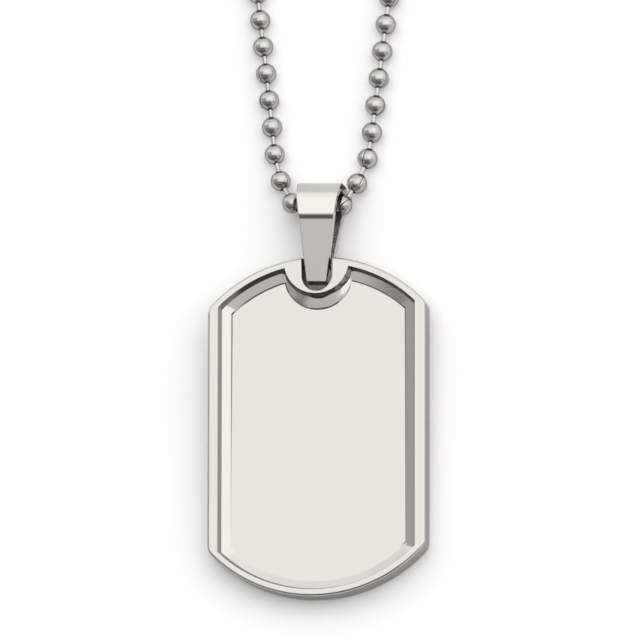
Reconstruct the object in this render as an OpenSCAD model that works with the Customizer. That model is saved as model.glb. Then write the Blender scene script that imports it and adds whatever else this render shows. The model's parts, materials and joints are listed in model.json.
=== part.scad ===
/* [Tag] */
// Width of the tag across its straight sides
tag_w = 26.2; // [25:0.1:30]
// Height of the tag between the middles of its arched ends
tag_h = 40.9; // [38:0.1:50]
// Thickness of the tag
tag_t = 3.2; // [3:0.1:4]
// Radius of the arched ends
end_r = 17.6; // [17:0.1:24]
// Radius of the four corners
corner_r = 1.6; // [1:0.1:2.4]

/* [Recess] */
// Width of the flat rim along the straight sides
side_rim = 1.25; // [0.8:0.05:2]
// Width of the flat rim along the arched ends
end_rim = 0.8; // [0.6:0.05:1.4]
// Depth of the recess below the rim
recess_d = 1.35; // [1:0.05:1.6]
// Width of the steep wall just inside the rim
steep_run = 0.3; // [0.15:0.05:0.5]
// Width of the shallow bevel between the steep wall and the field
bevel_run = 1.05; // [0.7:0.05:1.5]
// Height of that bevel
bevel_rise = 0.3; // [0.2:0.05:0.5]

/* [Boss and hole] */
// Radius of the boss's foot
boss_r = 4; // [3.7:0.1:4.6]
// Radius of the boss's top edge
boss_top_r = 3.9; // [3.6:0.1:4.4]
// Width of the boss's slope, below the hole
boss_run = 1.6; // [1.4:0.05:2]
// Flat land between the hole and the boss's top edge, below the hole
land = 0.4; // [0.3:0.05:0.8]
// Height of the bar across the top of the hole
bar_h = 1; // [0.8:0.05:1.4]
// Clearance between the bar and the bail round it
bar_play = 0.15; // [0.1:0.01:0.25]
// Clearance between the bail and each side of the hole
side_play = 0.15; // [0.1:0.01:0.3]
// Clearance between the bail's tip and the bottom of the hole
tip_play = 1.05; // [0.6:0.05:1.4]

/* [Bail] */
// Length of the bail from its tip to its top
bail_h = 12; // [11:0.1:14]
// Width of the bail at its top
bail_top_w = 5.35; // [4.4:0.05:6]
// Width of the bail at its tip
bail_tip_w = 2.4; // [2.2:0.05:3]
// Wall thickness of the bail
bail_wall = 0.95; // [0.8:0.05:1.05]
// Thickness of the closed tip of the bail
tip_t = 2.2; // [2.15:0.05:2.5]
// Length of the bail's tip that reaches below the bar
tip_reach = 1.95; // [1.8:0.05:2.4]
// Angle between the bail's front and back legs, in degrees
spread = 25.6; // [24:0.2:28]
// Length of the cushioned cap at the top of the bail
cap_h = 4.65; // [4:0.05:5.2]
// Height of the cap's lower edge above the front leg
cap_lift = 0.3; // [0.15:0.05:0.45]
// Radius of the cap's cushioned face
cap_r = 5.2; // [4.6:0.1:7]
// Height of the sloping facet at the very top of the bail
facet_h = 1.5; // [1.2:0.05:1.8]
// Slope of that facet, in degrees
facet_angle = 45; // [40:1:55]
// Radius of the bail's rounded top
crown_r = 1.7; // [1.2:0.05:2]
// Turn of the bail on the bar, clockwise from above, in degrees
bail_turn = 2.2; // [0:0.1:2.5]

/* [Ball chain] */
// Diameter of the beads
bead_d = 2.4; // [2.2:0.05:2.5]
// Distance from bead to bead
pitch = 3.33; // [3.15:0.01:3.5]
// Wall thickness of the hollow beads
bead_wall = 0.25; // [0.2:0.01:0.3]
// Diameter of the rods between the beads
rod_d = 0.5; // [0.45:0.01:0.55]
// Diameter of the head at the end of each rod
head_d = 1.1; // [1.05:0.01:1.15]
// Clearance of a rod and its head in the next bead
link_play = 0.13; // [0.12:0.01:0.16]
// Width of the flat lip round a bead's hole
lip = 0.05; // [0.02:0.01:0.1]
// Number of beads on each side of the bail
side_count = 91; // [60:1:110]
// Angle of each strand to the middle line, in degrees
strand_angle = 6.7; // [4:0.1:10]
// Gap between the beads and the bail that they pass through
bead_gap = 0.12; // [0.1:0.01:0.2]
// How far the middle bead lies to the left of the bail's middle line
bead_aside = 0.7; // [0.5:0.05:0.8]

/* [Clasp] */
// Distance between the two end beads in the clasp
clasp_span = 4.8; // [4.4:0.1:6]
// Wall thickness of the clasp
clasp_wall = 0.35; // [0.25:0.01:0.45]
// Clearance of the end beads in the clasp
clasp_play = 0.15; // [0.1:0.01:0.2]
// Clearance of a rod in the clasp's slots
slot_play = 0.37; // [0.3:0.01:0.4]

/* [Hidden] */
$fn = 48;

// The chain's way out of the bail, one row for each bead from the middle one outwards:
// heading of the rod in degrees above the cross direction, its length as a share of the pitch,
// and the bead's height off the surface as a share of the middle bead's
right_way = [
    [20, 1, 0.85],
    [60.5, 1.01, 0.2],
    [69, 0.995, 0],
    [81, 0.965, 0],
];
left_way = [
    [28.5, 1, 0.85],
    [62, 1.06, 0.2],
    [76.5, 1.045, 0],
    [84, 1.01, 0],
];
// Shares of the clasp's lift that its end beads and the two beads before them take
clasp_lifts = [1, 0.45, 0.12];

// How far a cutting tool runs past the face that it opens
over = 0.5;
// Facets of the long arcs of the tag's ends, and of the boss's edges
arc_facets = 180;
boss_facets = 120;
// Where the cap's crest lies between its lower edge and its crease
crest_share = 0.42;
// How much further than round the loop's arc two rods may bend before the bead's hole turns to face its rod
bend_share = 1.2;

// Tag, in its own frame: the middle of its back face is the origin
field_z = tag_t - recess_d;
bevel_z = field_z + bevel_rise;
bevel_slope = bevel_rise / bevel_run;
steep_slope = steep_run / (recess_d - bevel_rise);
tag_mid = tag_t / 2;
end_y = tag_h / 2 - end_r;
corner_x = tag_w / 2 - corner_r;
corner_y = end_y + sqrt(pow(end_r - corner_r, 2) - pow(corner_x, 2));

// Bail, in its own frame: u runs up from its tip, v forward from its middle plane
leg_angle = spread / 2;
leg_slope = tan(leg_angle);
knee_u = bail_h - cap_h;
knee_v = leg_v(knee_u);
inner_tip_v = tip_t / 2 - bail_wall / cos(leg_angle);
inner_top_u = bail_h - bail_wall;
void_u = tip_reach - 2 * bar_play;
bar_to_tip = tip_reach + bar_h / 2;
function leg_v(u) = tip_t / 2 + u * leg_slope;
function inner_v(u) = inner_tip_v + u * leg_slope;
function leg_w(u) = bail_tip_w + (bail_top_w - bail_tip_w) * u / bail_h;

// The cap's cushioned face, from its lower edge over the crest to the crease of the top facet
cap_start = [knee_u + cap_lift, knee_v + cap_lift];
crease_u = bail_h - facet_h;
crest_u = cap_start[0] + crest_share * (crease_u - cap_start[0]);
cap_centre = [crest_u, cap_start[1] - sqrt(pow(cap_r, 2) - pow(crest_u - cap_start[0], 2))];
crease = [crease_u, cap_centre[1] + sqrt(pow(cap_r, 2) - pow(crease_u - crest_u, 2))];

// The rounded top: one round meets the facet and one meets the back leg
crown_u = bail_h - crown_r;
facet_run = crown_u + crown_r * cos(facet_angle) - crease_u;
front_round = [crown_u, crease[1] - facet_run / tan(facet_angle) - crown_r * sin(facet_angle)];
back_round = [crown_u, crown_r / cos(leg_angle) - leg_v(crown_u)];

// Hole and bar, from the bail that passes through them
bar_y = tag_h / 2 - bar_h;
bar_t = 2 * (inner_v(tip_reach) - bar_play / cos(leg_angle));
hole_w = leg_w(tip_reach + bar_h) + 2 * side_play;
hole_foot = tag_h / 2 - bar_h - tip_reach - tip_play;
hole_y = hole_foot + hole_w / 2;
boss_edge = hole_foot - land;
boss_top_y = boss_edge + boss_top_r;
boss_y = boss_edge - boss_run + boss_r;

// A point of the bail in the tag's frame: the bail turns on the middle of the bar
function hung(p) = let(y = p[1] - bar_to_tip) [
    p[0] * cos(bail_turn) + y * sin(bail_turn),
    tag_h / 2 - bar_h / 2 - p[0] * sin(bail_turn) + y * cos(bail_turn),
    tag_mid + p[2]
];

// The pendant lies on the tag's lower back edge and on the right end of the bail's round back
round_end = hung([leg_w(crown_u) / 2, back_round[0], back_round[1]]);
edge_to_round = [round_end[1] + tag_h / 2, round_end[2]];
lie_angle = asin(crown_r / norm(edge_to_round)) - atan2(edge_to_round[1], edge_to_round[0]);

// Middle bead of the chain, resting on the inside of the bail's back leg
bead_r = bead_d / 2;
way_rise = pitch * right_way[0][1] * sin(right_way[0][0] + bail_turn);
middle_u = inner_top_u - bead_r - bead_gap - way_rise;
middle_v = (bead_r + bead_gap) / cos(leg_angle) - inner_v(middle_u);
middle_bead = lain(hung([-bead_aside, middle_u, middle_v]));
middle_lift = middle_bead[2] - bead_r;
function lain(p) = let(y = p[1] + tag_h / 2) [
    p[0],
    y * cos(lie_angle) - p[2] * sin(lie_angle) - tag_h / 2,
    y * sin(lie_angle) + p[2] * cos(lie_angle)
];

// Loop of the chain: two straight strands and the round arc that joins them
way_beads = len(right_way);
right_end = way_bead(right_way, 1, way_beads);
left_end = way_bead(left_way, -1, way_beads);
sum_y = right_end[1] + left_end[1];
strand_len = 2 * (side_count - way_beads) * pitch + clasp_span;
half_w = (right_end[0] - left_end[0] - sum_y * tan(strand_angle)) / 2;
turn = PI * (1 + strand_angle / 90);
arc_share = turn - 2 * tan(strand_angle);
loop_y = (strand_len + sum_y / cos(strand_angle) - half_w * cos(strand_angle) * arc_share)
    / (2 / cos(strand_angle) + sin(strand_angle) * arc_share);
loop_r = half_w * cos(strand_angle) + loop_y * sin(strand_angle);
loop_x = right_end[0] + (loop_y - right_end[1]) * tan(strand_angle) - loop_r / cos(strand_angle);

function way_bead(way, side, i) =
    i == 0 ? middle_bead
    : let(
        row = way[i - 1],
        before = way_bead(way, side, i - 1),
        rise = bead_r + row[2] * middle_lift - before[2],
        run = sqrt(pow(row[1] * pitch, 2) - pow(rise, 2))
    )
    before + [side * run * cos(row[0]), run * sin(row[0]), rise];

// A point of the loop at a distance along it from the end of a way, and one of its beads
function loop_point(end, side, along) =
    let(
        straight = (loop_y - loop_r * sin(strand_angle) - end[1]) / cos(strand_angle),
        angle = (along - straight) / loop_r * 180 / PI - strand_angle
    )
    along < straight
        ? [end[0] + side * along * sin(strand_angle), end[1] + along * cos(strand_angle)]
        : [loop_x + side * loop_r * cos(angle), loop_y + loop_r * sin(angle)];

function loop_bead(end, side, count) =
    let(
        point = loop_point(end, side, (count - way_beads) * pitch),
        to_clasp = side_count - count,
        share = to_clasp < len(clasp_lifts) ? clasp_lifts[to_clasp] : 0
    )
    [point[0], point[1], bead_r + share * (clasp_r - bead_r)];

function bead(i) =
    abs(i) <= way_beads
        ? way_bead(i > 0 ? right_way : left_way, sign(i), abs(i))
        : loop_bead(i > 0 ? right_end : left_end, sign(i), abs(i));

// Links of the chain: a bead's hole leaves room for the rod to lean as it does round the loop's arc
cavity_r = bead_r - bead_wall;
head_back = cavity_r - head_d / 2 - link_play;
lean = pitch / loop_r * 180 / PI;
hole_r = rod_d / 2 + link_play + bead_r * sin(lean);
flat_r = hole_r + lip;
head_flat_r = rod_d / 4;
rod_start = sqrt(pow(bead_r, 2) - pow(flat_r, 2)) - bead_wall / 2;

// Clasp
clasp_r = bead_r + clasp_play + clasp_wall;
clasp_len = clasp_span + 2 * clasp_r;
slot_w = rod_d + 2 * slot_play;
clasp_ends = [bead(side_count), bead(-side_count)];
clasp_mid = (clasp_ends[0] + clasp_ends[1]) / 2;

// The whole object's middle on the surface is the origin
low_y = -tag_h / 2 - tag_t * sin(lie_angle);
high_y = clasp_mid[1] + clasp_r;
origin = [loop_x, (low_y + high_y) / 2, 0];

function angle_between(a, b) = acos(min(1, a * b / norm(a) / norm(b)));

function arc(centre, r, from, to, steps) =
    [for (i = [0:steps]) let(a = from + (to - from) * i / steps) centre + r * [cos(a), sin(a)]];

module placed() {
    translate(-origin) children();
}

module lying() {
    placed() translate([0, -tag_h / 2, 0]) rotate([lie_angle, 0, 0]) translate([0, tag_h / 2, 0]) children();
}

// Hangs the bail on the bar
module on_bar() {
    translate(hung([0, 0, 0])) rotate([0, 0, -bail_turn]) children();
}

// Turns a piece that stands along Z to run from one point towards another
module aimed(from, to) {
    way = to - from;
    translate(from) rotate([0, acos(way[2] / norm(way)), atan2(way[1], way[0])]) children();
}

// The tag's outline: straight sides, round corners and arched ends
module outline() {
    reach = 2 * end_r;
    corner = [corner_x, corner_y - end_y] / norm([corner_x, corner_y - end_y]) * reach;
    square([tag_w, 2 * corner_y], center = true);
    for (x = [-corner_x, corner_x], y = [-corner_y, corner_y]) translate([x, y]) circle(corner_r);
    for (end = [0, 1]) mirror([0, end]) translate([0, end_y]) intersection() {
        circle(end_r, $fn = arc_facets);
        polygon([[0, 0], corner, [0, 2 * reach], [-corner[0], corner[1]]]);
    }
}

// One sloping layer of the recess, between two heights, with the rim's widths at each
module recess_layer(low, high, low_inset, high_inset) {
    low_x = tag_w / 2 - side_rim - low_inset;
    high_x = tag_w / 2 - side_rim - high_inset;
    intersection() {
        rotate([90, 0, 0]) linear_extrude(tag_h, center = true)
            polygon([[-low_x, low], [low_x, low], [high_x, high], [-high_x, high]]);
        end_layer(1, low, high, low_inset, high_inset);
        end_layer(-1, low, high, low_inset, high_inset);
    }
}

// The part of that layer that an arched end leaves open
module end_layer(end, low, high, low_inset, high_inset) {
    high_r = end_r - end_rim - high_inset;
    translate([0, end * end_y, low]) {
        cylinder(r1 = end_r - end_rim - low_inset, r2 = high_r, h = high - low, $fn = arc_facets);
        translate([-tag_w, end > 0 ? -tag_h : 0, 0]) cube([2 * tag_w, tag_h, high - low]);
    }
}

module boss() {
    wall_r = boss_top_r + recess_d * steep_slope;
    cut_r = boss_top_r - over * steep_slope;
    translate([0, boss_y, field_z])
        cylinder(r1 = boss_r, r2 = 0, h = boss_r * bevel_slope, $fn = boss_facets);
    translate([0, boss_top_y, field_z])
        cylinder(r1 = wall_r, r2 = cut_r, h = recess_d + over, $fn = boss_facets);
}

module tag() {
    color([0.88, 0.87, 0.85]) lying() difference() {
        linear_extrude(tag_t) outline();
        difference() {
            union() {
                recess_layer(field_z, bevel_z, steep_run + bevel_run, steep_run);
                recess_layer(bevel_z, tag_t + over, steep_run, -over * steep_slope);
            }
            boss();
        }
        translate([0, hole_y, -over]) cylinder(d = hole_w, h = tag_t + 2 * over);
        translate([-hole_w / 2, hole_y, -over]) cube([hole_w, bar_y - hole_y, tag_t + 2 * over]);
        for (side = [-1, 1])
            translate([-hole_w / 2, hole_y, tag_mid + (side > 0 ? bar_t / 2 : -bar_t / 2 - tag_t)])
                cube([hole_w, tag_h, tag_t]);
    }
}

// Side view of the bail, with u to the right and v up
module bail_side() {
    low_angle = 90 + asin((crest_u - cap_start[0]) / cap_r);
    high_angle = 90 - asin((crease_u - crest_u) / cap_r);
    back_angle = -90 - leg_angle;
    inner_facet = crease - bail_wall * [cos(facet_angle), sin(facet_angle)];
    inner_crease_u = (inner_facet[0] * cos(facet_angle) + (inner_facet[1] - inner_tip_v) * sin(facet_angle))
        / (cos(facet_angle) + leg_slope * sin(facet_angle));
    difference() {
        polygon(concat(
            [[0, -tip_t / 2], [0, tip_t / 2], [knee_u, knee_v]],
            arc(cap_centre, cap_r, low_angle, high_angle, 10),
            arc(front_round, crown_r, facet_angle, 0, 5),
            arc(back_round, crown_r, 0, back_angle, 10)
        ));
        polygon(concat(
            [[void_u, -inner_v(void_u)], [void_u, inner_v(void_u)]],
            [[inner_crease_u, inner_v(inner_crease_u)]],
            [[inner_top_u, inner_facet[1] - (inner_top_u - inner_facet[0]) / tan(facet_angle)]],
            arc(back_round, crown_r - bail_wall, 0, back_angle, 8)
        ));
    }
}

module bail() {
    color([0.72, 0.71, 0.69]) lying() on_bar() intersection() {
        rotate([90, 0, 90]) linear_extrude(2 * bail_top_w, center = true) bail_side();
        linear_extrude(2 * bail_h, center = true)
            polygon([
                for (corner = [[-1, 0], [1, 0], [1, 1], [-1, 1]])
                    [corner[0] * leg_w(corner[1] * bail_h) / 2, corner[1] * bail_h]
            ]);
    }
}

// A ball with a small flat at each end
module ball(r, end_r) {
    intersection() {
        sphere(r);
        cylinder(r = 2 * r, h = 2 * sqrt(pow(r, 2) - pow(end_r, 2)), center = true);
    }
}

// A hollow bead with its hole on the upper side
module hollow_bead() {
    difference() {
        ball(bead_r, flat_r);
        ball(cavity_r, rod_d / 2);
        cylinder(r = hole_r, h = bead_d);
    }
}

// One link: the bead at here with the rod and head that hold the next one. Its hole lies opposite
// the rod, or faces the bead before it where the chain turns sharply
module link(before, here, next) {
    turned = before != undef && angle_between(here - before, next - here) > bend_share * lean;
    if (turned) aimed(here, before) hollow_bead();
    aimed(here, next) {
        head_at = norm(next - here) - head_back;
        if (!turned) rotate([180, 0, 0]) hollow_bead();
        translate([0, 0, rod_start]) cylinder(d = rod_d, h = head_at - rod_start);
        translate([0, 0, head_at]) ball(head_d / 2, head_flat_r);
    }
}

module ball_chain() {
    color([0.66, 0.65, 0.63]) placed() {
        for (i = [-side_count:side_count - 1])
            link(i > -side_count ? bead(i - 1) : undef, bead(i), bead(i + 1));
        aimed(bead(side_count), bead(side_count - 1)) hollow_bead();
    }
}

module clasp() {
    color([0.75, 0.74, 0.72]) placed() aimed(clasp_mid, clasp_ends[0]) difference() {
        cylinder(r = clasp_r, h = clasp_len, center = true);
        cylinder(r = clasp_r - clasp_wall, h = clasp_len - 2 * clasp_wall, center = true);
        cylinder(d = slot_w, h = clasp_len + 2 * over, center = true);
        translate([-2 * clasp_r, -slot_w / 2, -clasp_len / 2 - over])
            cube([2 * clasp_r, slot_w, clasp_len + 2 * over]);
        rotate([0, -90, 0]) cylinder(r = bead_r + clasp_play / 2, h = 2 * clasp_r);
    }
}

tag();
bail();
ball_chain();
clasp();
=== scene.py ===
"""An identification tag of polished steel with its bail, ball chain and clasp, lying on a pale table."""

import json
import math
import random

import bmesh
import bpy
from mathutils import Matrix, Vector
from mathutils.bvhtree import BVHTree


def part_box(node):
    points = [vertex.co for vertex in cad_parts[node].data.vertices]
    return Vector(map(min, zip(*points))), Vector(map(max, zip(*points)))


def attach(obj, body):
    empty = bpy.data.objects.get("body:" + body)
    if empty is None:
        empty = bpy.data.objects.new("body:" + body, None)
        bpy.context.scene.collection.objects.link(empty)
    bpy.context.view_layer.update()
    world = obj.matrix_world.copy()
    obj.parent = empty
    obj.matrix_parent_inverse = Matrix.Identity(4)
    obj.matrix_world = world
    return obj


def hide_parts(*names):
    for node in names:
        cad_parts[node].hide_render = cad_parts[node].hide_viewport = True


bl_info = {
    "name": "Identification tag on a ball chain",
    "version": (1, 0, 0),
    "blender": (4, 5, 0),
    "location": "3D View > Sidebar > Tag",
    "description": "Builds the polished look of an identification tag, its bail, ball chain and clasp",
    "category": "Object",
}

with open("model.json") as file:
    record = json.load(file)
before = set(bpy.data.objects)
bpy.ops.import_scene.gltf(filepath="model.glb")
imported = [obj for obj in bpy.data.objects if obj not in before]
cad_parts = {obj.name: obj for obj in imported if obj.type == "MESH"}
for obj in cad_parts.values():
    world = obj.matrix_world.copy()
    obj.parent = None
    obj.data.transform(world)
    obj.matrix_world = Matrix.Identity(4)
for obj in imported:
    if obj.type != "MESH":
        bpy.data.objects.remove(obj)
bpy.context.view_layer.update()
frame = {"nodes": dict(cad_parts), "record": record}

MM = 0.001
UP = Vector((0, 0, 1))

# How near points have to be, in metres: corners of triangles to be one corner, points to lie on one
# plane, and points to lie level or on a bead's shell
WELD = 0.0005 * MM
ON_PLANE = 0.001 * MM
LEVEL = 0.01 * MM
# How far the surface may turn between two facets of one flat face, in degrees: strictly, and to the eye
SAME_FLAT = 0.05
NEARLY_FLAT = 0.3
# The edges that get a polished round: the turn of the surface in degrees from which on they do, and
# the number of facets across the round
ROUNDS = {"outline": (60, 4), "tag": (28, 3), "bail": (25, 4), "clasp": (30, 2)}
COVE_FACETS = 5
# The weight at which only the largest face at a corner sets its shading
LARGE_FACES_ONLY = 100
# The turn of the surface in degrees from which on the chain's edges are drawn sharp
CHAIN_SHARP = 35
# How squarely a face has to look one way, as the cosine of the angle between: to count as part of the
# tag's flats, and to count as the end of the bail's tip, which gets painted shade. Below the third it is an
# upright wall
FLAT_SQUARE = 0.999
TIP_SQUARE = 0.95
WALL_SQUARE = 0.1
# How far the bail's faces look for metal across its opening, in metres. Faces that find it get a dark colour:
# painted shade
BAIL_OPENING = 9 * MM

# The chain's way out of the bail, one row for each bead from the middle one outwards:
# heading of the rod in degrees above the cross direction, its length as a share of the pitch,
# and the bead's height off the surface as a share of the middle bead's
RIGHT_WAY = [(20, 1, 0.85), (60.5, 1.01, 0.2), (69, 0.995, 0), (81, 0.965, 0)]
LEFT_WAY = [(28.5, 1, 0.85), (62, 1.06, 0.2), (76.5, 1.045, 0), (84, 1.01, 0)]
# Shares of the clasp's lift that its end beads and the two beads before them take
CLASP_LIFTS = (1, 0.45, 0.12)
# Beads near the bail whose seams show, counted to the right of the middle one, with each seam's
# direction in degrees to the right of straight up
SEAMS = {1: 20, 2: 36, 3: -14, 5: 74, 6: 60, 9: 50, -5: -54, -6: -38}
# The other beads have theirs below, in a random direction between these two, and the draws' seed
HIDDEN_SEAMS = (110, 250)
SEAM_SEED = 7
# Rings along a bead, and facets round a bead and a rod
FINE_RINGS, FINE_BEAD_FACETS, FINE_ROD_FACETS = 16, 32, 16
PLAIN_RINGS, PLAIN_BEAD_FACETS, PLAIN_ROD_FACETS = 6, 10, 6
# Sizes at a bead's hole as multiples of its lip: from the hole to the shell, the hole's depth in its
# middle and at its wall, how deep a rod starts in the bead, and how far down the lip is in the shade
LIP_FOOT, HOLE_DEPTH, WALL_DEPTH, ROD_START, LIP_SHADE = 1.5, 4, 2, 3, 0.6

# Noise cells in a metre of the polish's and the table's grain, with the noise's levels of detail, and
# the levels of detail of the steel's waviness
STEEL_GRAIN, STEEL_DETAIL = 900, 4
TABLE_GRAIN, TABLE_DETAIL = 300, 2
WAVE_DETAIL = 2
# Where on the waviness the dark and the light spots of mottled steel are at their full strength
MOTTLE_ENDS = (0.35, 0.65)

# Soft steps in the brightness of the surroundings: the axis along which each runs, where on it the
# step starts and ends for a direction of length 1, and the brightness before and after
LIGHT_STEPS = {
    # A dark gap low behind the camera, between grey walls to its left and right
    "gap": ("Y", -0.72, -0.62, 0.19, 1.0),
    "gap_left": ("X", -0.5, -0.35, 0.7, 0.0),
    "gap_right": ("X", 0.45, 0.6, 0.0, 0.8),
    # A narrow dark bar between that gap and the overhead light
    "bar_low": ("Y", -0.63, -0.59, 1.0, 0.04),
    "bar_high": ("Y", -0.48, -0.44, 0.04, 1.0),
    "bar_left": ("X", -0.5, -0.4, 1.0, 0.04),
    "bar_right": ("X", 0.5, 0.6, 0.04, 1.0),
    # Grey to the left, though not towards the chain's far end, and fainter to the right
    "left": ("X", -0.52, -0.32, 0.4, 1.0),
    "left_far": ("Y", 0.17, 0.38, 0.4, 0.9),
    "right": ("X", 0.6, 0.9, 1.0, 0.75),
    # The overhead light, from its near edge to where it fades towards the chain's far end
    "overhead_near": ("Y", -0.27, -0.16, 0.54, 1.0),
    "overhead_far": ("Y", 0.4, 0.95, 1.0, 0.68),
    # The strength of it all, a little greater to the right
    "strength": ("X", -0.15, 0.35, 1.62, 1.78),
}
LIGHT_COLOUR = (1, 0.995, 0.985, 1)

# The camera's sensor in millimetres, and the nearest and farthest that it sees in metres
SENSOR_WIDTH = 36
CAMERA_REACH = (0.05, 20)


def length(name, description, mm, low=0.0, high=700.0):
    """A length that a user can change, given in millimetres and kept in metres."""
    return bpy.props.FloatProperty(
        name=name, description=description, default=mm * MM, min=low * MM, max=high * MM,
        subtype="DISTANCE", unit="LENGTH", precision=5,
    )


def offset(name, description, x, y, z):
    """An offset that a user can change, given in millimetres and kept in metres."""
    return bpy.props.FloatVectorProperty(
        name=name, description=description, default=(x * MM, y * MM, z * MM), size=3,
        subtype="TRANSLATION", unit="LENGTH", precision=6,
    )


def number(name, description, value, low=0.0, high=1.0):
    """A plain number that a user can change."""
    return bpy.props.FloatProperty(name=name, description=description, default=value, min=low, max=high)


def degrees(name, description, value):
    """An angle that a user can change, given in degrees and kept in radians."""
    return bpy.props.FloatProperty(
        name=name, description=description, default=math.radians(value), subtype="ANGLE", unit="ROTATION",
    )


def count(name, description, value, low, high):
    """A whole number that a user can change."""
    return bpy.props.IntProperty(name=name, description=description, default=value, min=low, max=high)


def tint(name, description, red, green, blue):
    """A colour that a user can change."""
    return bpy.props.FloatVectorProperty(
        name=name, description=description, default=(red, green, blue), min=0, max=1, size=3,
        subtype="COLOR",
    )


class TagLook(bpy.types.PropertyGroup):
    """Sizes and colours of the tag's polished surfaces."""

    rim_edge: length("Rim round", "Width of the polished round along the tag's outline", 0.3, 0.02, 0.6)
    edge: length("Edge round", "Width of the polished round on the tag's other edges", 0.09, 0.02, 0.3)
    field_step: length("Field step", "Width and depth of the step along the field's arched top", 0.15, 0, 0.3)
    cove: length("Cove", "Width of the soft round between the field and its bevelled sides", 0.35, 0.05, 0.8)
    boss_zone: length("Boss zone", "How far the boss and the hole reach from the tag's top", 6.5, 1, 12)
    colour: tint("Steel", "Reflection colour of the polished steel", 0.5, 0.487, 0.463)
    gloss: number("Roughness", "Roughness of the mirror polish", 0.07)
    rim_tint: tint("Steel edge", "Tint of the reflection where it grazes the steel", 0.6, 0.6, 0.6)
    # The hole's walls: rougher, unpolished steel, whose dark colour is painted shade inside the hole
    hole_shade_colour: tint("Hole", "Reflection colour of the hole's unpolished walls", 0.16, 0.15, 0.145)
    cut_gloss: number("Hole roughness", "Roughness of the hole's walls", 0.4)


class BailLook(bpy.types.PropertyGroup):
    """Sizes and colours of the bail."""

    edge: length("Edge round", "Width of the polished round on the bail's edges", 0.11, 0.02, 0.3)
    colour: tint("Steel", "Reflection colour of the bail's polished outside", 0.56, 0.545, 0.52)
    # The inside is unpolished, mottled steel, and its dark colour is painted shade
    inside_shade_colour: tint("Inside", "Colour of the bail's unpolished inside", 0.3, 0.285, 0.27)
    gloss: number("Roughness", "Roughness of the polished outside", 0.09)
    inside_gloss: number("Inside roughness", "Roughness of the unpolished inside", 0.5)


class ChainLook(bpy.types.PropertyGroup):
    """Sizes and colours of the ball chain and its clasp. Its beads lie where those of the solids do."""

    bead_r: length("Bead radius", "Outer radius of a bead", 1.2, 0.5, 3)
    pitch: length("Pitch", "Distance from bead to bead", 3.33, 1, 8)
    rod_r: length("Rod radius", "Radius of the rods between the beads", 0.26, 0.1, 1)
    hole_r: length("Hole radius", "Radius of the hole at each end of a bead", 0.31, 0.1, 1)
    lip: length("Lip", "Width and height of the raised lip round a bead's hole", 0.055, 0.01, 0.3)
    side_beads: count("Beads a side", "Number of beads on each side of the bail", 91, 20, 150)
    near_beads: count("Fine beads", "Number of finely made beads on each side of the bail", 12, 0, 40)
    strand_angle: degrees("Strand angle", "Angle of each strand to the middle line", 6.7)
    clasp_span: length("Clasp span", "Distance between the two end beads in the clasp", 4.8, 2, 10)
    clasp_r: length("Clasp radius", "Outer radius of the clasp", 1.7, 1, 4)
    clasp_edge: length("Clasp round", "Width of the polished round on the clasp's edges", 0.05, 0.01, 0.2)
    middle: offset(
        "Middle bead", "The middle bead's place, from the lower end of the tag's middle line",
        -0.46832, 46.4976, 2.63555,
    )
    seam: length("Seam", "Width of the seam in a bead's shell", 0.07, 0.02, 0.4)
    colour: tint("Bead steel", "Reflection colour of the tumbled beads", 0.46, 0.452, 0.435)
    rim_tint: tint("Bead edge", "Tint of the reflection where it grazes a bead or rod", 0.25, 0.25, 0.25)
    gloss: number("Bead roughness", "Roughness of the tumbled beads", 0.15)
    seam_colour: tint("Seam shade", "Reflection colour inside the seams and round the rods", 0.05, 0.05, 0.05)
    seam_gloss: number("Seam roughness", "Roughness inside the seams and round the rods", 0.6)
    rod_colour: tint("Rod steel", "Reflection colour of the drawn rods", 0.47, 0.46, 0.44)
    rod_gloss: number("Rod roughness", "Roughness of the drawn rods", 0.08)


class StageLook(bpy.types.PropertyGroup):
    """The table, the light and the camera."""

    table_colour: tint("Table", "Colour of the pale table", 0.94, 0.94, 0.935)
    table_size: length("Table size", "Width of the table", 4000, 500, 9000)
    table_sheen: number("Table sheen", "Strength of the table's reflections", 0.2)
    table_smooth: number("Table smoothest", "Least roughness of the table", 0.55)
    table_rough: number("Table roughest", "Greatest roughness of the table", 0.65)
    lamp_size: length("Lamp size", "Width of the soft lamp", 1600, 100, 5000)
    lamp_power: number("Lamp power", "Power of the soft lamp in watts", 1.5, 0, 100)
    lamp_place: offset("Lamp place", "Where the soft lamp hangs", 100, 100, 1300)
    right_of: degrees("Camera to the right", "How far the camera stands to the right of straight above", 10.6)
    below: degrees("Camera below", "How far the camera stands towards the tag's lower end", 13.8)
    roll: degrees("Camera roll", "Turn of the picture", 0.5)
    view_width: length("View width", "Width of the picture at the tag", 75.65, 20, 400)
    distance: length("Distance", "Distance of the camera from the tag", 2100, 200, 5000)
    front: offset(
        "Front", "From the middle of the tag's front to the middle of its box's top", 0, 0.07, 0.76,
    )
    aim_x: number("Aim across", "Where the tag's middle shows, as a share of the picture's width", 316 / 640)
    aim_y: number("Aim down", "Where the tag's middle shows, as a share of the picture's height", 426.1 / 640)


def new_object(name, bm, *materials):
    """Turns a bmesh into an object of the scene."""
    mesh = bpy.data.meshes.new(name)
    bm.to_mesh(mesh)
    bm.free()
    for material in materials:
        mesh.materials.append(material)
    item = bpy.data.objects.new(name, mesh)
    bpy.context.scene.collection.objects.link(item)
    return item


def new_material(name):
    """A new material, with its nodes and its shader."""
    material = bpy.data.materials.new(name)
    material.use_nodes = True
    return material, material.node_tree, material.node_tree.nodes["Principled BSDF"]


def noise(tree, scale, detail):
    """A noise pattern that is fixed to the object, with its cells in a metre."""
    place = tree.nodes.new("ShaderNodeTexCoord")
    pattern = tree.nodes.new("ShaderNodeTexNoise")
    pattern.inputs["Scale"].default_value = scale
    pattern.inputs["Detail"].default_value = detail
    tree.links.new(place.outputs["Object"], pattern.inputs["Vector"])
    return pattern.outputs["Fac"]


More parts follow.
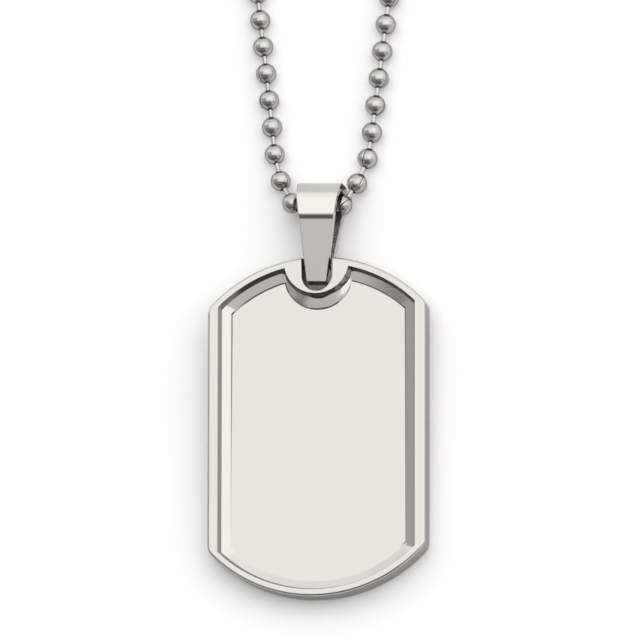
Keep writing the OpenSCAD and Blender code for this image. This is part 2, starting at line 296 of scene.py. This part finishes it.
def uneven_gloss(tree, shader, pattern, smoothest, roughest):
    """Lets a pattern vary the roughness between two values."""
    spread = tree.nodes.new("ShaderNodeMapRange")
    spread.inputs["To Min"].default_value = smoothest
    spread.inputs["To Max"].default_value = roughest
    tree.links.new(pattern, spread.inputs["Value"])
    tree.links.new(spread.outputs["Result"], shader.inputs["Roughness"])


def steel(name, colour, roughness, grain=0.02, wave=0.0, wave_size=4.0, mottle=0.0, edge_tint=None):
    """Polished steel: a metal with a fine uneven gloss and, where asked, a faint waviness.

    grain is how far the roughness varies, wave the depth of the waviness in millimetres and
    wave_size its length in millimetres. mottle is how far the colour varies with the waviness
    between light and dark spots, and edge_tint the tint of grazing reflections.
    """
    material, tree, shader = new_material(name)
    shader.inputs["Metallic"].default_value = 1
    shader.inputs["Base Color"].default_value = (*colour, 1)
    if edge_tint:
        shader.inputs["Specular Tint"].default_value = (*edge_tint, 1)
    fine = noise(tree, STEEL_GRAIN, STEEL_DETAIL)
    uneven_gloss(tree, shader, fine, max(roughness - grain, 0), roughness + grain)
    if wave:
        broad = noise(tree, 1 / (wave_size * MM), WAVE_DETAIL)
        bump = tree.nodes.new("ShaderNodeBump")
        bump.inputs["Strength"].default_value = 1
        bump.inputs["Distance"].default_value = wave * MM
        tree.links.new(broad, bump.inputs["Height"])
        tree.links.new(bump.outputs["Normal"], shader.inputs["Normal"])
        if mottle:
            spots = tree.nodes.new("ShaderNodeValToRGB")
            for stop, end, share in zip(spots.color_ramp.elements, MOTTLE_ENDS, (1 - mottle, 1 + mottle)):
                stop.position = end
                stop.color = (*(share * part for part in colour), 1)
            tree.links.new(broad, spots.inputs["Fac"])
            tree.links.new(spots.outputs["Color"], shader.inputs["Base Color"])
    return material


def cad_copy(node, round_at=None, round_r=0.0):
    """A clean bmesh copy of a node's solid: joined triangles, with each flat face in one piece.

    Within round_r of round_at, seen from above, the facets of curved faces are left as they are.
    """
    bm = bmesh.new()
    bm.from_mesh(frame["nodes"][node].data)
    bmesh.ops.remove_doubles(bm, verts=bm.verts, dist=WELD)
    kept = set()
    if round_at:
        kept = {v for v in bm.verts if (v.co - round_at).xy.length < round_r}
    joined = [
        e for e in bm.edges
        if not kept.intersection(e.verts) or (e.is_manifold and e.calc_face_angle() < math.radians(SAME_FLAT))
    ]
    free = [v for v in bm.verts if v not in kept]
    bmesh.ops.dissolve_limit(bm, angle_limit=math.radians(NEARLY_FLAT), verts=free, edges=joined)
    return bm


def round_edges(bm, edges, width, facets):
    """Gives some edges a small polished round."""
    bmesh.ops.bevel(
        bm, geom=edges, offset=width, offset_type="OFFSET", segments=facets, profile=0.5,
        affect="EDGES", clamp_overlap=True, material=-1,
    )
    for face in bm.faces:
        face.smooth = True


def sharp_edges(bm, from_angle):
    """The edges where the surface turns by more than an angle in degrees."""
    return [e for e in bm.edges if e.is_manifold and e.calc_face_angle() > math.radians(from_angle)]


def keep_flats_flat(piece):
    """Lets the large faces set the shading, so that flats stay true mirrors beside their rounds."""
    weighted = piece.modifiers.new("Flat faces", "WEIGHTED_NORMAL")
    weighted.mode = "FACE_AREA"
    weighted.weight = LARGE_FACES_ONLY
    weighted.keep_sharp = True


def field_normal():
    """The direction that the tag's sunk field faces."""
    mount = next(m for m in frame["record"]["mounts"] if m["name"] == "engraving_field")
    return Vector(mount["axis"]).normalized()


def largest_face(bm, facing):
    """The largest face that faces a way: the tag's sunk field."""
    return max((f for f in bm.faces if f.normal.dot(facing) > FLAT_SQUARE), key=lambda f: f.calc_area())


def step_field(bm, facing, step, cove):
    """Sinks the field below its bevels: by a crisp step along its arched top, by a soft cove elsewhere."""
    field = largest_face(bm, facing)
    left = min(v.co.x for v in field.verts)
    shoulder = max(v.co.y for v in field.verts if v.co.x < left + LEVEL) - LEVEL

    def below_shoulder(edges):
        return [e for e in edges if all(v.co.y < shoulder - step / 2 for v in e.verts)]

    border = list(field.verts)
    bmesh.ops.inset_region(bm, faces=[field], thickness=step, depth=-step, use_even_offset=True)
    for vert in border:
        if vert.co.y < shoulder:
            vert.co -= facing * step
    # Below the shoulders the inset's strip is now level with the field, so the two are made one
    bmesh.ops.dissolve_edges(bm, edges=below_shoulder(field.edges), use_verts=True)
    round_edges(bm, below_shoulder(largest_face(bm, facing).edges), cove, COVE_FACETS)


def mark_hole(bm, hole, reach, facing):
    """Gives the walls of the hole, which face its middle line, the second material: rougher steel whose dark
    colour is painted shade inside the hole.
    """
    for face in bm.faces:
        to_hole = face.calc_center_median() - hole
        to_hole.z = 0
        upright = abs(face.normal.dot(facing)) < WALL_SQUARE
        if upright and to_hole.length < reach and face.normal.dot(to_hole) < 0:
            face.material_index = 1


def outline_edges(bm, facing, from_angle):
    """The edges between a flat that faces a way, or its back, and an upright side."""
    return [
        e for e in sharp_edges(bm, from_angle)
        if sorted(round(abs(f.normal.dot(facing)), 1) for f in e.link_faces) == [0, 1]
    ]


class SCENE_OT_tag(bpy.types.Operator):
    """Make the polished tag: rim, sunk field with a crisp line along its top, boss and hole"""

    bl_idname = "scene.id_tag"
    bl_label = "Tag"

    def execute(self, context):
        look = context.scene.tag_look
        low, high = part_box("tag")
        hole = Vector(((low.x + high.x) / 2, high.y, 0))
        bm = cad_copy("tag", hole, look.boss_zone)
        facing = field_normal()
        step_field(bm, facing, look.field_step, look.cove)
        mark_hole(bm, hole, look.boss_zone, facing)
        from_angle, facets = ROUNDS["outline"]
        round_edges(bm, outline_edges(bm, facing, from_angle), look.rim_edge, facets)
        from_angle, facets = ROUNDS["tag"]
        round_edges(bm, sharp_edges(bm, from_angle), look.edge, facets)
        polish = steel(
            "tag_polish", look.colour, look.gloss, grain=0.015, wave=0.0004, wave_size=9,
            edge_tint=look.rim_tint,
        )
        # The hole's walls take a dark colour that is painted shade, on rougher steel
        cut = steel("hole_walls_painted_shade", look.hole_shade_colour, look.cut_gloss, grain=0.1)
        piece = new_object("tag_polished", bm, polish, cut)
        keep_flats_flat(piece)
        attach(piece, "root")
        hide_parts("tag")
        return {"FINISHED"}


class SCENE_OT_bail(bpy.types.Operator):
    """Make the bail: polished outside; unpolished inside and tip ends, whose dark colour is painted shade"""

    bl_idname = "scene.id_bail"
    bl_label = "Bail"

    def execute(self, context):
        look = context.scene.bail_look
        bm = cad_copy("bail")
        solid = BVHTree.FromBMesh(bm)
        # Faces that look across the opening at the bail's own metal, and the tip's ends, get the dark steel:
        # painted shade
        for face in bm.faces:
            start = face.calc_center_median() + face.normal * LEVEL
            faces_metal_in_shade = solid.ray_cast(start, face.normal, BAIL_OPENING)[0] is not None
            face.material_index = 1 if faces_metal_in_shade or face.normal.y < -TIP_SQUARE else 0
        from_angle, facets = ROUNDS["bail"]
        round_edges(bm, sharp_edges(bm, from_angle), look.edge, facets)
        polish = steel("bail_polish", look.colour, look.gloss, grain=0.02, wave=0.0004, wave_size=6)
        # The inside: unpolished, mottled steel whose dark colour is painted shade
        raw = steel(
            "bail_inside_painted_shade", look.inside_shade_colour, look.inside_gloss, grain=0.1, wave=0.02, wave_size=0.25,
            mottle=0.45,
        )
        piece = new_object("bail_polished", bm, polish, raw)
        keep_flats_flat(piece)
        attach(piece, "root")
        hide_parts("bail")
        return {"FINISHED"}


def way_out(way, side, middle, look):
    """The chain's beads from the middle one in the bail out to the straight strand, on one side."""
    points = [middle]
    lift = middle.z - look.bead_r
    for heading, share, height in way:
        rise = look.bead_r + height * lift - points[-1].z
        run = math.sqrt((share * look.pitch) ** 2 - rise ** 2)
        angle = math.radians(heading)
        points.append(points[-1] + Vector((side * run * math.cos(angle), run * math.sin(angle), rise)))
    return points


def loop_beads(look):
    """All the bead centres, from the left end in the clasp round to the right end.

    Each side takes its way out of the bail, then a straight strand, then half of the arc that
    joins the strands. The arc is as large as it has to be for the chain to end in the clasp.
    """
    low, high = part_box("tag")
    middle = Vector(((low.x + high.x) / 2, low.y, 0)) + Vector(look.middle)
    right = way_out(RIGHT_WAY, 1, middle, look)
    left = way_out(LEFT_WAY, -1, middle, look)
    on_way = len(RIGHT_WAY)
    slant = look.strand_angle
    cos, sin, tan = math.cos(slant), math.sin(slant), math.tan(slant)
    ends_y = right[-1].y + left[-1].y - 2 * low.y
    half_w = (right[-1].x - left[-1].x - ends_y * tan) / 2
    strands = 2 * (look.side_beads - on_way) * look.pitch + look.clasp_span
    arc_share = math.pi + 2 * slant - 2 * tan
    loop_y = (strands + ends_y / cos - half_w * cos * arc_share) / (2 / cos + sin * arc_share)
    loop_r = half_w * cos + loop_y * sin
    loop_x = right[-1].x + (low.y + loop_y - right[-1].y) * tan - loop_r / cos
    centre = Vector((loop_x, low.y + loop_y, look.bead_r))
    sides = []
    for side, way in ((1, right), (-1, left)):
        end = way[-1]
        straight = (centre.y - loop_r * sin - end.y) / cos
        points = list(way)
        for index in range(on_way + 1, look.side_beads + 1):
            along = (index - on_way) * look.pitch
            if along < straight:
                x = end.x + side * along * sin
                y = end.y + along * cos
            else:
                angle = (along - straight) / loop_r - slant
                x = centre.x + side * loop_r * math.cos(angle)
                y = centre.y + loop_r * math.sin(angle)
            to_clasp = look.side_beads - index
            share = CLASP_LIFTS[to_clasp] if to_clasp < len(CLASP_LIFTS) else 0
            points.append(Vector((x, y, look.bead_r + share * (look.clasp_r - look.bead_r))))
        sides.append(points)
    return list(reversed(sides[1][1:])) + sides[0]


def spun_mesh(name, profile, facets, slot=0, seam=None, lip_z=None):
    """A profile of radius and height spun round Z, as a mesh to be copied.

    seam is a bead's radius and its seam's width, and what lies past lip_z is in the seam's shade.
    """
    bm = bmesh.new()
    verts = [bm.verts.new((0, r, z)) for r, z in profile]
    edges = [bm.edges.new(pair) for pair in zip(verts, verts[1:])]
    bmesh.ops.spin(
        bm, geom=verts + edges, cent=(0, 0, 0), axis=UP, dvec=(0, 0, 0), angle=2 * math.pi,
        steps=facets, use_merge=True, use_duplicate=False,
    )
    bmesh.ops.remove_doubles(bm, verts=bm.verts, dist=ON_PLANE)
    bmesh.ops.recalc_face_normals(bm, faces=bm.faces)
    for face in bm.faces:
        face.smooth = True
        past_lip = lip_z and abs(face.calc_center_median().z) > lip_z
        face.material_index = 2 if past_lip else slot
    if seam:
        cut_seam(bm, *seam)
    for edge in sharp_edges(bm, CHAIN_SHARP):
        edge.smooth = False
    mesh = bpy.data.meshes.new(name)
    bm.to_mesh(mesh)
    bm.free()
    return mesh


def bead_profile(look, rings, lip):
    """Half outline of a bead and its lips, and the height of a lip's top. Without a lip it is plain."""
    edge = math.asin((look.hole_r + LIP_FOOT * lip) / look.bead_r)
    pole = look.bead_r * math.cos(edge)
    end = [(0, pole)]
    if lip:
        end = [
            (0, pole - HOLE_DEPTH * lip),
            (look.hole_r, pole - WALL_DEPTH * lip),
            (look.hole_r, pole + lip),
            (look.hole_r + lip, pole + lip),
        ]
    shell = [
        (look.bead_r * math.sin(angle), look.bead_r * math.cos(angle))
        for angle in (edge + (math.pi - 2 * edge) * ring / rings for ring in range(rings + 1))
    ]
    return end + shell + [(r, -z) for r, z in reversed(end)], pole + lip


def rod_profile(look):
    """Half outline of a rod, from inside one bead into the next."""
    inside = math.sqrt(look.bead_r ** 2 - look.hole_r ** 2) - ROD_START * look.lip
    return [(look.rod_r, inside), (look.rod_r, look.pitch - inside)]


def cut_seam(bm, bead_r, width):
    """Opens a fine seam from hole to hole down the Y side of a bead's shell."""
    def on_seam(vert):
        on_shell = abs(vert.co.length - bead_r) < LEVEL
        return on_shell and vert.co.y > 0 and abs(vert.co.x) < ON_PLANE
    line = [e for e in bm.edges if all(on_seam(v) for v in e.verts)]
    cut = bmesh.ops.bevel(
        bm, geom=line, offset=width / 2, offset_type="OFFSET", segments=2, profile=0.5,
        affect="EDGES", clamp_overlap=True, material=-1,
    )
    for face in cut["faces"]:
        face.material_index = 2
    for vert in cut["verts"]:
        if abs(vert.co.x) < ON_PLANE:
            vert.co *= 1 - width / bead_r


def place_copy(bm, mesh, at, way, top, stretch=1.0):
    """Adds a copy of a mesh at a point, with its Z along a way and its Y as near as it goes to top."""
    start = len(bm.verts)
    bm.from_mesh(mesh)
    bm.verts.ensure_lookup_table()
    along = way.normalized()
    side = top.cross(along).normalized()
    axes = Matrix((side, along.cross(side), along)).transposed().to_4x4()
    place = Matrix.Translation(at) @ axes @ Matrix.Scale(stretch, 4, UP)
    bmesh.ops.transform(bm, matrix=place, verts=bm.verts[start:])


def string_beads(bm, look, beads, bead, rod, first, last, seam_sides):
    """Adds the beads from first up to last, each with the rod that leaves it."""
    for index in range(first, last):
        way = beads[min(index + 1, len(beads) - 1)] - beads[max(index - 1, 0)]
        side = seam_sides[index]
        place_copy(bm, bead, beads[index], way, Vector((math.sin(side), 0, math.cos(side))))
        if index + 1 < len(beads):
            way = beads[index + 1] - beads[index]
            place_copy(bm, rod, beads[index], way, UP, way.length / look.pitch)


class SCENE_OT_chain(bpy.types.Operator):
    """Make the ball chain: beads with their holes, seams and rods, finer near the bail"""

    bl_idname = "scene.id_chain"
    bl_label = "Ball chain"

    def execute(self, context):
        look = context.scene.chain_look
        beads = loop_beads(look)
        middle = look.side_beads
        chance = random.Random(SEAM_SEED)
        seam_sides = [math.radians(chance.uniform(*HIDDEN_SEAMS)) for _ in beads]
        for bead, side in SEAMS.items():
            seam_sides[middle + bead] = math.radians(side)
        outline, lip_top = bead_profile(look, FINE_RINGS, look.lip)
        fine_bead = spun_mesh(
            "fine_bead", outline, FINE_BEAD_FACETS, seam=(look.bead_r, look.seam),
            lip_z=lip_top - LIP_SHADE * look.lip,
        )
        outline, lip_top = bead_profile(look, PLAIN_RINGS, 0)
        plain_bead = spun_mesh("plain_bead", outline, PLAIN_BEAD_FACETS)
        fine_rod = spun_mesh("fine_rod", rod_profile(look), FINE_ROD_FACETS, slot=1)
        plain_rod = spun_mesh("plain_rod", rod_profile(look), PLAIN_ROD_FACETS, slot=1)
        near_first, near_last = middle - look.near_beads, middle + look.near_beads
        polish = steel(
            "bead_polish", look.colour, look.gloss, grain=0.04, wave=0.003, wave_size=0.8,
            edge_tint=look.rim_tint,
        )
        drawn = steel("rod_polish", look.rod_colour, look.rod_gloss, grain=0.03, edge_tint=look.rim_tint)
        shade = steel("seam_shade", look.seam_colour, look.seam_gloss, grain=0.1)
        bm = bmesh.new()
        string_beads(bm, look, beads, fine_bead, fine_rod, near_first, near_last, seam_sides)
        near = new_object("chain_at_the_bail", bm, polish, drawn, shade)
        bm = bmesh.new()
        string_beads(bm, look, beads, plain_bead, plain_rod, 0, near_first, seam_sides)
        string_beads(bm, look, beads, plain_bead, plain_rod, near_last, len(beads), seam_sides)
        far = new_object("chain_round_the_neck", bm, polish, drawn)
        for mesh in (fine_bead, fine_rod, plain_bead, plain_rod):
            bpy.data.meshes.remove(mesh)
        for piece in (near, far):
            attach(piece, "root")
            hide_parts("ball_chain")
        return {"FINISHED"}


class SCENE_OT_clasp(bpy.types.Operator):
    """Make the clasp: the slotted sleeve that holds the chain's end beads"""

    bl_idname = "scene.id_clasp"
    bl_label = "Clasp"

    def execute(self, context):
        look = context.scene.chain_look
        bm = cad_copy("clasp")
        from_angle, facets = ROUNDS["clasp"]
        round_edges(bm, sharp_edges(bm, from_angle), look.clasp_edge, facets)
        polish = steel("clasp_polish", look.colour, look.gloss, grain=0.05, wave=0.004, wave_size=1.5)
        piece = new_object("clasp_polished", bm, polish)
        keep_flats_flat(piece)
        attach(piece, "root")
        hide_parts("clasp")
        return {"FINISHED"}


def studio_world(scene):
    """Soft studio surroundings, as bright in each direction as the steps of LIGHT_STEPS make them."""
    scene.view_settings.view_transform = "Standard"
    world = bpy.data.worlds.new("studio")
    scene.world = world
    world.use_nodes = True
    nodes, links = world.node_tree.nodes, world.node_tree.links
    background = nodes["Background"]
    direction = nodes.new("ShaderNodeTexCoord")
    axes = nodes.new("ShaderNodeSeparateXYZ")
    links.new(direction.outputs["Generated"], axes.inputs["Vector"])

    def step(name):
        axis, start, end, before, after = LIGHT_STEPS[name]
        node = nodes.new("ShaderNodeMapRange")
        node.interpolation_type = "SMOOTHSTEP"
        node.inputs["From Min"].default_value = start
        node.inputs["From Max"].default_value = end
        node.inputs["To Min"].default_value = before
        node.inputs["To Max"].default_value = after
        links.new(axes.outputs[axis], node.inputs["Value"])
        return node.outputs["Result"]

    def joined(operation, first, *others):
        for other in others:
            node = nodes.new("ShaderNodeMath")
            node.operation = operation
            links.new(first, node.inputs[0])
            links.new(other, node.inputs[1])
            first = node.outputs["Value"]
        return first

    gap = joined("MAXIMUM", step("gap"), step("gap_left"), step("gap_right"))
    bar = joined("MAXIMUM", step("bar_low"), step("bar_high"), step("bar_left"), step("bar_right"))
    left = joined("MAXIMUM", step("left"), step("left_far"))
    overhead = joined("MULTIPLY", step("overhead_near"), step("overhead_far"))
    strength = joined("MULTIPLY", gap, bar, left, step("right"), overhead, step("strength"))
    links.new(strength, background.inputs["Strength"])
    background.inputs["Color"].default_value = LIGHT_COLOUR


def fill_light(scene, look):
    """A broad soft lamp that whitens the table and doesn't show in the polish."""
    lamp = bpy.data.lights.new("fill", "AREA")
    lamp.shape = "DISK"
    lamp.size = look.lamp_size
    lamp.energy = look.lamp_power
    holder = bpy.data.objects.new("fill", lamp)
    holder.location = look.lamp_place
    holder.visible_glossy = False
    holder.visible_camera = False
    scene.collection.objects.link(holder)


def table_top(look):
    """The pale table: a wide plane with a barely visible grain."""
    bm = bmesh.new()
    bmesh.ops.create_grid(bm, x_segments=1, y_segments=1, size=look.table_size / 2)
    material, tree, shader = new_material("pale_table")
    shader.inputs["Base Color"].default_value = (*look.table_colour, 1)
    shader.inputs["Specular IOR Level"].default_value = look.table_sheen
    uneven_gloss(tree, shader, noise(tree, TABLE_GRAIN, TABLE_DETAIL), look.table_smooth, look.table_rough)
    table = new_object("table", bm, material)


def photo_camera(scene, look):
    """A long lens to the right of and below the tag, with the tag's middle where the photo has it."""
    lens = bpy.data.cameras.new("camera")
    lens.sensor_fit = "HORIZONTAL"
    lens.sensor_width = SENSOR_WIDTH
    lens.lens = lens.sensor_width * look.distance / look.view_width
    lens.clip_start, lens.clip_end = CAMERA_REACH
    camera = bpy.data.objects.new("camera", lens)
    scene.collection.objects.link(camera)
    scene.camera = camera
    towards = Vector((
        math.sin(look.right_of) * math.cos(look.below),
        -math.sin(look.below),
        math.cos(look.right_of) * math.cos(look.below),
    ))
    across = Vector((math.cos(look.right_of), 0, -math.sin(look.right_of)))
    upward = towards.cross(across)
    turn = Matrix.Rotation(look.roll, 3, towards)
    across, upward = turn @ across, turn @ upward
    low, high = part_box("tag")
    front = Vector(((low.x + high.x) / 2, (low.y + high.y) / 2, high.z)) - Vector(look.front)
    aim = front - look.view_width * ((look.aim_x - 0.5) * across + (0.5 - look.aim_y) * upward)
    axes = Matrix((across, upward, towards)).transposed().to_4x4()
    camera.matrix_world = Matrix.Translation(aim + towards * look.distance) @ axes


class SCENE_OT_stage(bpy.types.Operator):
    """Make the pale table, the soft studio light and the camera"""

    bl_idname = "scene.id_stage"
    bl_label = "Stage"

    def execute(self, context):
        look = context.scene.stage_look
        photo_camera(context.scene, look)
        table_top(look)
        studio_world(context.scene)
        fill_light(context.scene, look)
        return {"FINISHED"}


class VIEW3D_PT_id_tag(bpy.types.Panel):
    """Lists the steps that make the tag, its bail, chain, clasp and stage"""

    bl_label = "Identification tag"
    bl_idname = "VIEW3D_PT_id_tag"
    bl_space_type = "VIEW_3D"
    bl_region_type = "UI"
    bl_category = "Tag"

    def draw(self, context):
        for step in STEPS:
            self.layout.operator(step.bl_idname)
        for look in LOOKS:
            box = self.layout.box()
            for name in LOOKS[look].__annotations__:
                box.prop(getattr(context.scene, look), name)


STEPS = (SCENE_OT_stage, SCENE_OT_tag, SCENE_OT_bail, SCENE_OT_chain, SCENE_OT_clasp)
LOOKS = {"tag_look": TagLook, "bail_look": BailLook, "chain_look": ChainLook, "stage_look": StageLook}


def register():
    for look, group in LOOKS.items():
        bpy.utils.register_class(group)
        setattr(bpy.types.Scene, look, bpy.props.PointerProperty(type=group))
    for step in (*STEPS, VIEW3D_PT_id_tag):
        bpy.utils.register_class(step)


def unregister():
    for step in reversed((*STEPS, VIEW3D_PT_id_tag)):
        bpy.utils.unregister_class(step)
    for look, group in reversed(LOOKS.items()):
        delattr(bpy.types.Scene, look)
        bpy.utils.unregister_class(group)


def main():
    """Makes everything in order."""
    register()
    bpy.ops.scene.id_stage()
    bpy.ops.scene.id_tag()
    bpy.ops.scene.id_bail()
    bpy.ops.scene.id_chain()
    bpy.ops.scene.id_clasp()


if __name__ == "__main__":
    main()
